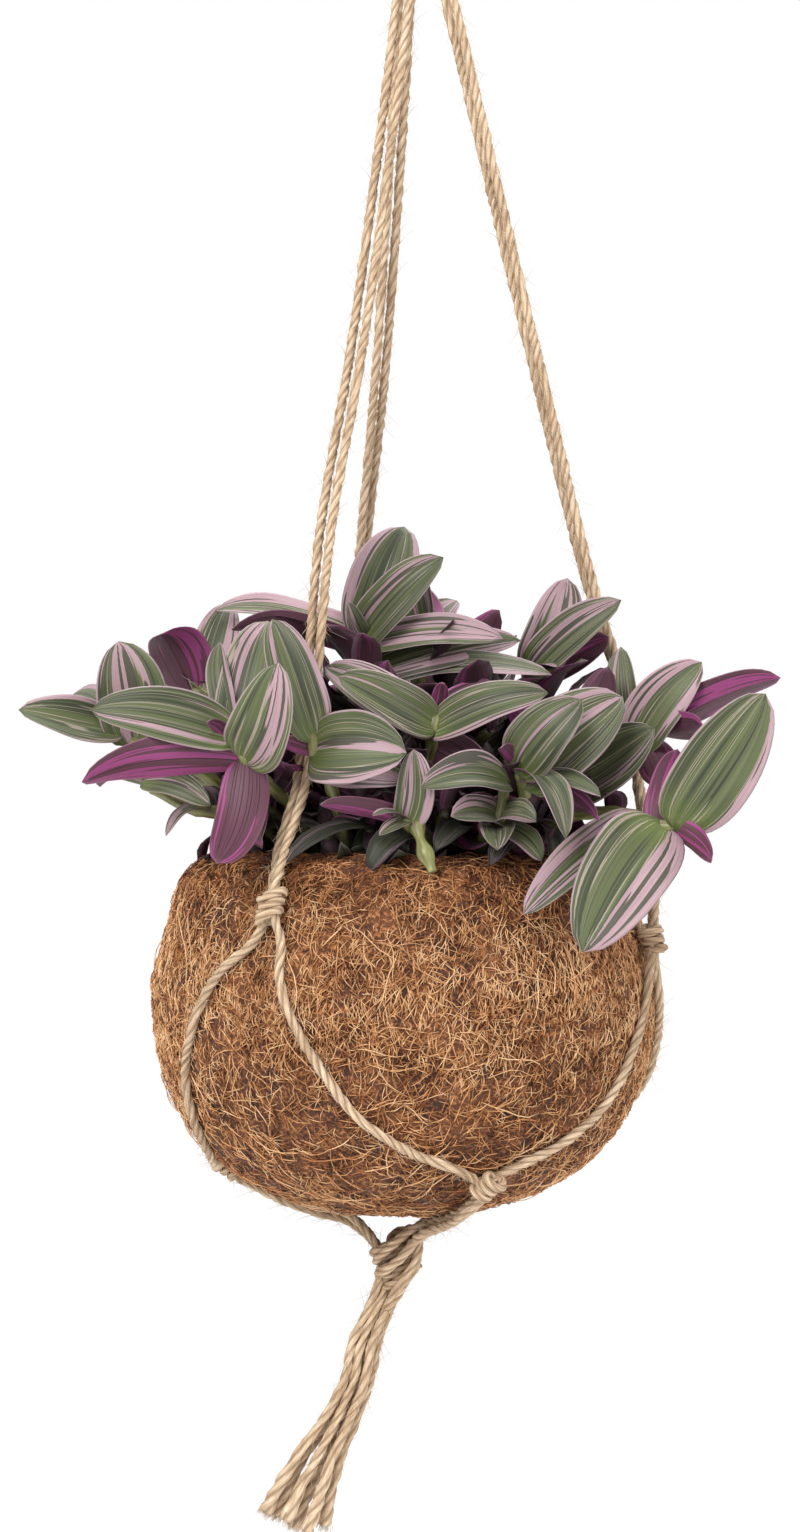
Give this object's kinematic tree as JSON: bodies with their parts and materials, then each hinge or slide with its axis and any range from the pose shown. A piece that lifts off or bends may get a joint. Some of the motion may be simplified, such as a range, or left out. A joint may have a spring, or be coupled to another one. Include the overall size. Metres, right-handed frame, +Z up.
{
  "type": "potted tradescantia",
  "caption": "Tradescantia with striped leaves in a ball-shaped coconut-coir pot, hung by a knotted jute-cord hanger with a loop on top and a tassel below.",
  "frame": {"origin": "inner top of the hanging loop, where a hook bears", "axes": "+Z up through the loop, +X to the right seen from the front, -Y towards the front"},
  "size_m": [0.2604, 0.1943, 0.6192],
  "materials": {
    "coir": "matted coconut fibre, matt",
    "soil": "dark crumbly potting soil of peat and bark, matt",
    "jute": "twisted plied jute with loose fibres, matt",
    "leaf": "green leaf with pink and silvery stripes, satin; purple underside"
  },
  "bodies": {
    "root": {"coir_shell": "coir", "soil": "soil", "top_knot": "jute", "bottom_knot": "jute", "shoulder_knot_front": "jute", "shoulder_knot_right": "jute", "shoulder_knot_back": "jute", "lower_knot_front": "jute", "lower_knot_left": "jute", "lower_knot_back": "jute", "loop_cord_1": "jute", "loop_cord_2": "jute", "loop_cord_3": "jute", "leg_cord_front_1": "jute", "leg_cord_front_2": "jute", "leg_cord_right_1": "jute", "leg_cord_right_2": "jute", "leg_cord_back_1": "jute", "leg_cord_back_2": "jute", "net_cord_front_to_front": "jute", "net_cord_front_to_left": "jute", "net_cord_right_to_front": "jute", "net_cord_right_to_back": "jute", "net_cord_back_to_back": "jute", "net_cord_back_to_left": "jute", "under_cord_front_1": "jute", "under_cord_front_2": "jute", "under_cord_left_1": "jute", "under_cord_left_2": "jute", "under_cord_back_1": "jute", "under_cord_back_2": "jute", "tassel_strand_1": "jute", "tassel_strand_2": "jute", "tassel_strand_3": "jute", "tassel_strand_4": "jute", "tassel_strand_5": "jute", "tassel_strand_6": "jute", "leafy_stem_far_left": "leaf", "leafy_stem_low_left": "leaf", "leafy_stem_left_front": "leaf", "leafy_stem_left_inner": "leaf", "leafy_stem_upper_left": "leaf", "leafy_stem_top_centre": "leaf", "leafy_stem_mid_centre": "leaf", "leafy_stem_low_centre": "leaf", "leafy_stem_low_right_inner": "leaf", "leafy_stem_low_right": "leaf", "leafy_stem_right_inner": "leaf", "leafy_stem_upper_right": "leaf", "leafy_stem_right": "leaf", "leafy_stem_right_front": "leaf", "leafy_stem_back_right_low": "leaf", "leafy_stem_back_right_far": "leaf", "leafy_stem_back_low": "leaf", "leafy_stem_back_left_far": "leaf", "leafy_stem_back_left_low": "leaf", "leafy_stem_back_right_mid": "leaf", "leafy_stem_back_mid": "leaf", "leafy_stem_back_left_mid": "leaf", "leafy_stem_back_top": "leaf"}
  },
  "joints": []
}
